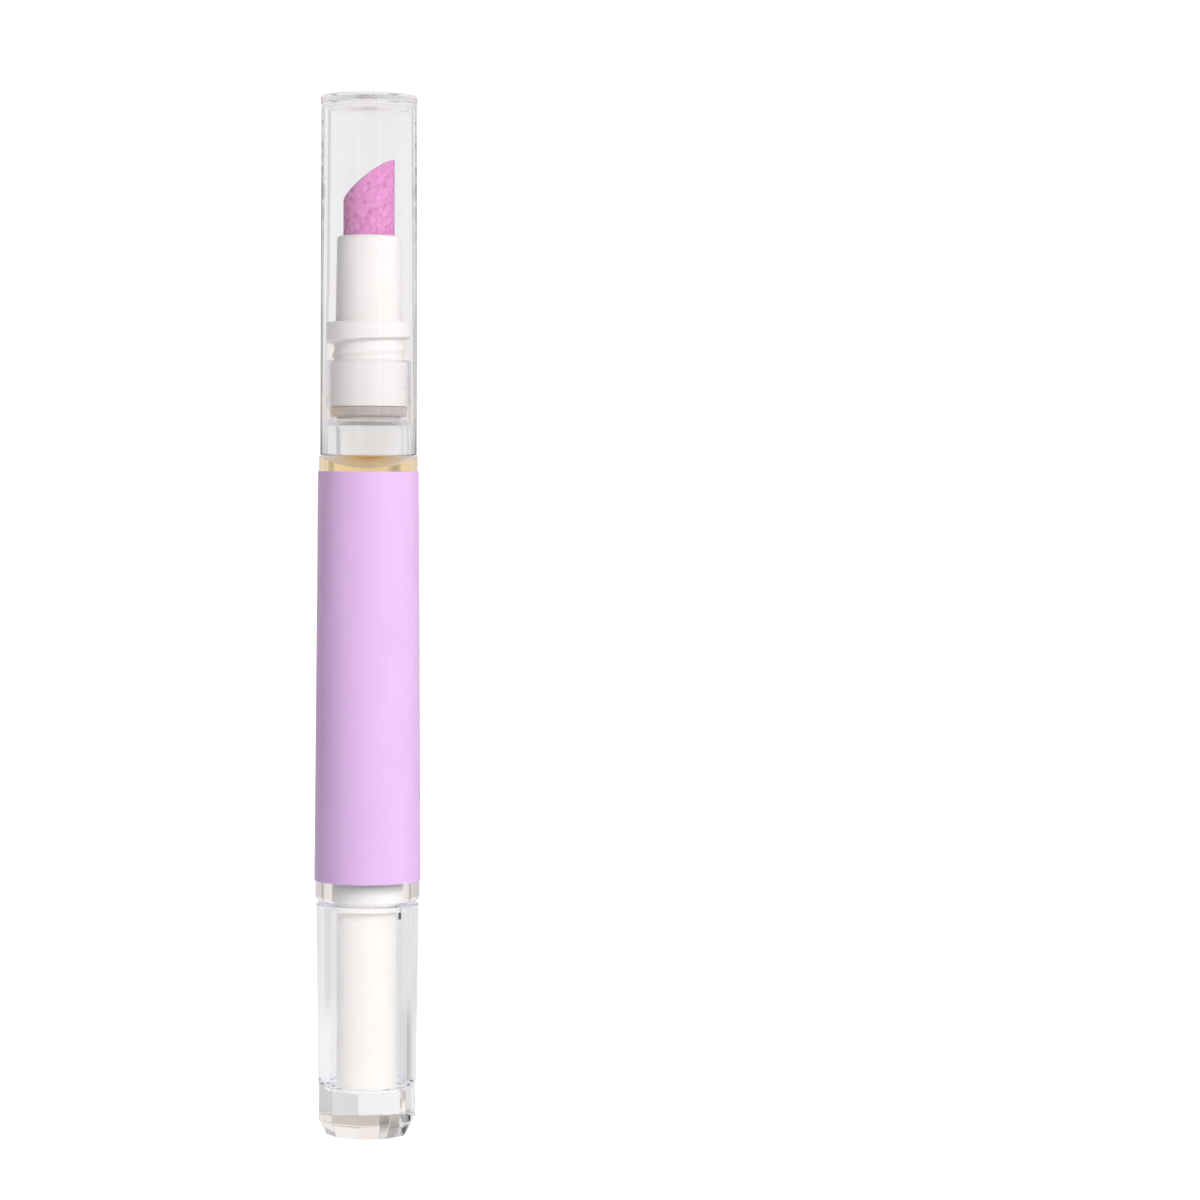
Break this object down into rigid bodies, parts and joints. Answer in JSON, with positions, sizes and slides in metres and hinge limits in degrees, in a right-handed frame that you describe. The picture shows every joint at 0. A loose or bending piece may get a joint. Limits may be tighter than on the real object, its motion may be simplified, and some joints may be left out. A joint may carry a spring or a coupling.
{
  "type": "cuticle oil pen",
  "caption": "Twist-up cuticle oil pen with a clear pull-off cap, slanted pusher tip, clear oil barrel with a lilac label, and a clear faceted knob that screws a piston up the barrel.",
  "frame": {"origin": "centre of the knob's flat base, on the pen's axis", "axes": "+Z along the pen from the knob to the closed end of the cap; -Y is the side that faces the viewer; the tip is highest on +X"},
  "size_m": [0.0124, 0.0124, 0.12],
  "materials": {
    "clear_plastic": "polished clear moulding",
    "white_plastic": "satin moulding",
    "piston_plastic": "waxy, slightly see-through moulding",
    "oil": "clear amber liquid",
    "label_film": "satin film, bare",
    "seal_rubber": "see-through silicone",
    "feed_plastic": "drawn tube",
    "tip_stone": "porous, speckled"
  },
  "bodies": {
    "barrel": {"barrel": "clear_plastic", "label": "label_film", "neck_plug": "white_plastic", "plug_seal_ring": "seal_rubber", "tip_holder": "white_plastic", "pusher_tip": "tip_stone", "feed_tube": "feed_plastic", "screw_nut": "white_plastic", "ratchet_ring": "white_plastic", "oil_fill": "oil"},
    "cap": {"cap": "clear_plastic"},
    "knob": {"knob": "clear_plastic", "drive_sleeve": "white_plastic", "pawl_ring": "white_plastic"},
    "rod": {"screw_rod": "white_plastic"},
    "piston": {"piston": "piston_plastic"}
  },
  "joints": [
    {"name": "cap_pull", "type": "slide", "parent": "barrel", "child": "cap", "axis": [0, 0, 1], "range_m": [0, 0.04]},
    {"name": "knob_twist", "type": "hinge", "parent": "barrel", "child": "knob", "pos_m": [0, 0, 0], "axis": [0, 0, 1], "range_deg": [0, 3240], "deforming": ["pawl_ring"]},
    {"name": "rod_feed", "type": "slide", "parent": "knob", "child": "rod", "axis": [0, 0, 1], "range_m": [0, 0.027]},
    {"name": "piston_feed", "type": "slide", "parent": "barrel", "child": "piston", "axis": [0, 0, 1], "range_m": [0, 0.027], "deforming": ["oil_fill"]}
  ],
  "couplings": [
    {"joint": "knob_twist", "follows": "rod_feed", "rad_per_m": 2094.4},
    {"joint": "piston_feed", "follows": "rod_feed", "ratio": 1}
  ]
}
